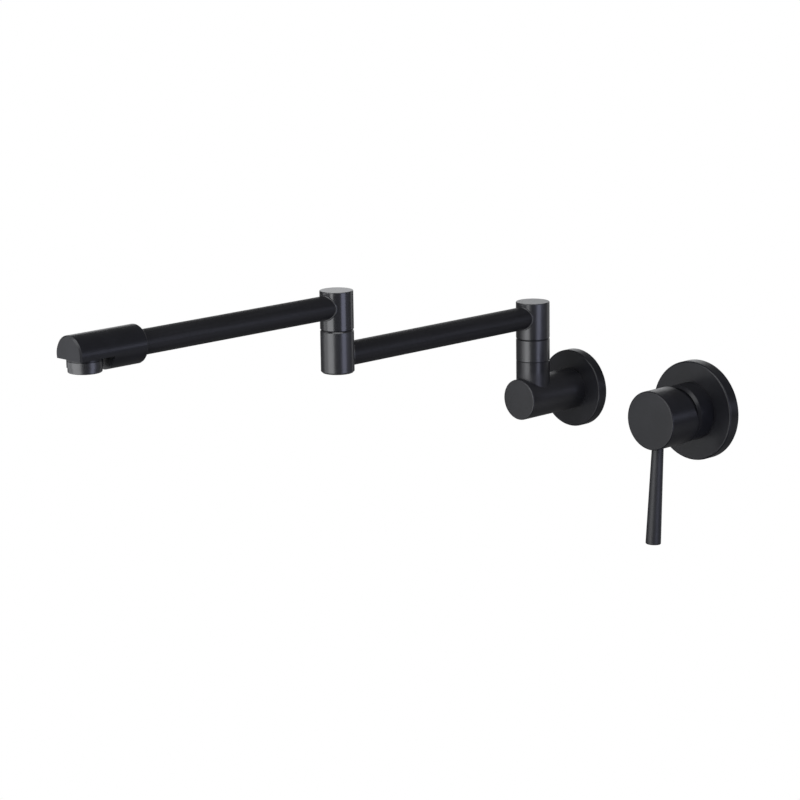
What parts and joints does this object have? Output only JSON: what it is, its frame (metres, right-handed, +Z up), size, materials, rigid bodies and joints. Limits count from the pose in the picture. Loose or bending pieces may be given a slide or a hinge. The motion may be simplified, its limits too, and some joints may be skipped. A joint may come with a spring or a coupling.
{
  "type": "pot filler",
  "caption": "Wall-mounted pot filler: a double-jointed swing spout on a round flange, with a separate round lever mixer beside it, in satin black.",
  "frame": {"origin": "centre of the spout's inlet in the plane of the wall's face", "axes": "+X to the right along the wall, +Y into the wall along the inlet, +Z up"},
  "size_m": [0.1945, 0.5336, 0.2116],
  "materials": {
    "satin_black": "satin",
    "black_tube": "satin",
    "brass": "machined",
    "steel": "turned",
    "seal_rubber": "matte",
    "foam": "matte",
    "bearing_plastic": "matte",
    "cartridge_plastic": "matte",
    "aerator_plastic": "matte",
    "black_plastic": "matte",
    "ceramic": "lapped"
  },
  "bodies": {
    "wall_unit": {"spout_flange": "satin_black", "flange_gasket": "foam", "wall_nipple": "brass", "nipple_washer": "seal_rubber", "base_post": "satin_black", "base_collar": "satin_black", "shoulder_spindle": "brass", "shoulder_o_ring": "seal_rubber", "shoulder_washer": "bearing_plastic", "mixer_plate": "satin_black", "plate_gasket": "foam", "plate_o_ring": "seal_rubber", "mixer_sleeve": "satin_black", "valve_body": "brass", "hot_tail": "brass", "cold_tail": "brass", "mixed_tail": "brass", "cartridge_base": "cartridge_plastic", "port_seals": "seal_rubber", "fixed_disc": "ceramic", "cartridge_housing": "cartridge_plastic", "cartridge_nut": "satin_black"},
    "lower_arm": {"shoulder_head": "satin_black", "shoulder_gland_ring": "brass", "lower_arm_tube": "black_tube", "elbow_base": "satin_black", "elbow_spindle": "brass", "elbow_o_ring": "seal_rubber", "elbow_washer": "bearing_plastic"},
    "upper_arm": {"elbow_head": "satin_black", "elbow_gland_ring": "brass", "upper_arm_tube": "black_tube", "spout_head": "satin_black", "aerator_housing": "satin_black", "aerator_honeycomb": "aerator_plastic", "aerator_insert": "aerator_plastic", "aerator_screen": "steel", "aerator_washer": "seal_rubber"},
    "mixer_carrier": {"cartridge_carrier": "cartridge_plastic", "pivot_pin": "steel"},
    "mixer_handle": {"control_stem": "brass", "handle": "satin_black", "lever": "satin_black", "handle_grub_screw": "steel", "grub_plug": "black_plastic"},
    "mixer_disc": {"disc_driver": "cartridge_plastic", "moving_disc": "ceramic"}
  },
  "joints": [
    {"name": "shoulder_swivel", "type": "hinge", "parent": "wall_unit", "child": "lower_arm", "pos_m": [0, -0.0519, 0.0473], "axis": [0, 0, 1], "range_deg": [-90, 90]},
    {"name": "elbow_swivel", "type": "hinge", "parent": "lower_arm", "child": "upper_arm", "pos_m": [0, -0.2615, 0.0843], "axis": [0, 0, 1], "continuous": true},
    {"name": "mixer_turn", "type": "hinge", "parent": "wall_unit", "child": "mixer_carrier", "pos_m": [0.1256, -0.026, 0], "axis": [0, 1, 0], "range_deg": [-45, 45]},
    {"name": "handle_lift", "type": "hinge", "parent": "mixer_carrier", "child": "mixer_handle", "pos_m": [0.1256, -0.026, 0], "axis": [-1, 0, 0], "range_deg": [0, 20]},
    {"name": "disc_slide", "type": "slide", "parent": "mixer_carrier", "child": "mixer_disc", "axis": [0, 0, -1], "range_m": [0, 0.0059]}
  ],
  "couplings": [
    {"joint": "disc_slide", "follows": "handle_lift", "m_per_rad": 0.01685}
  ]
}
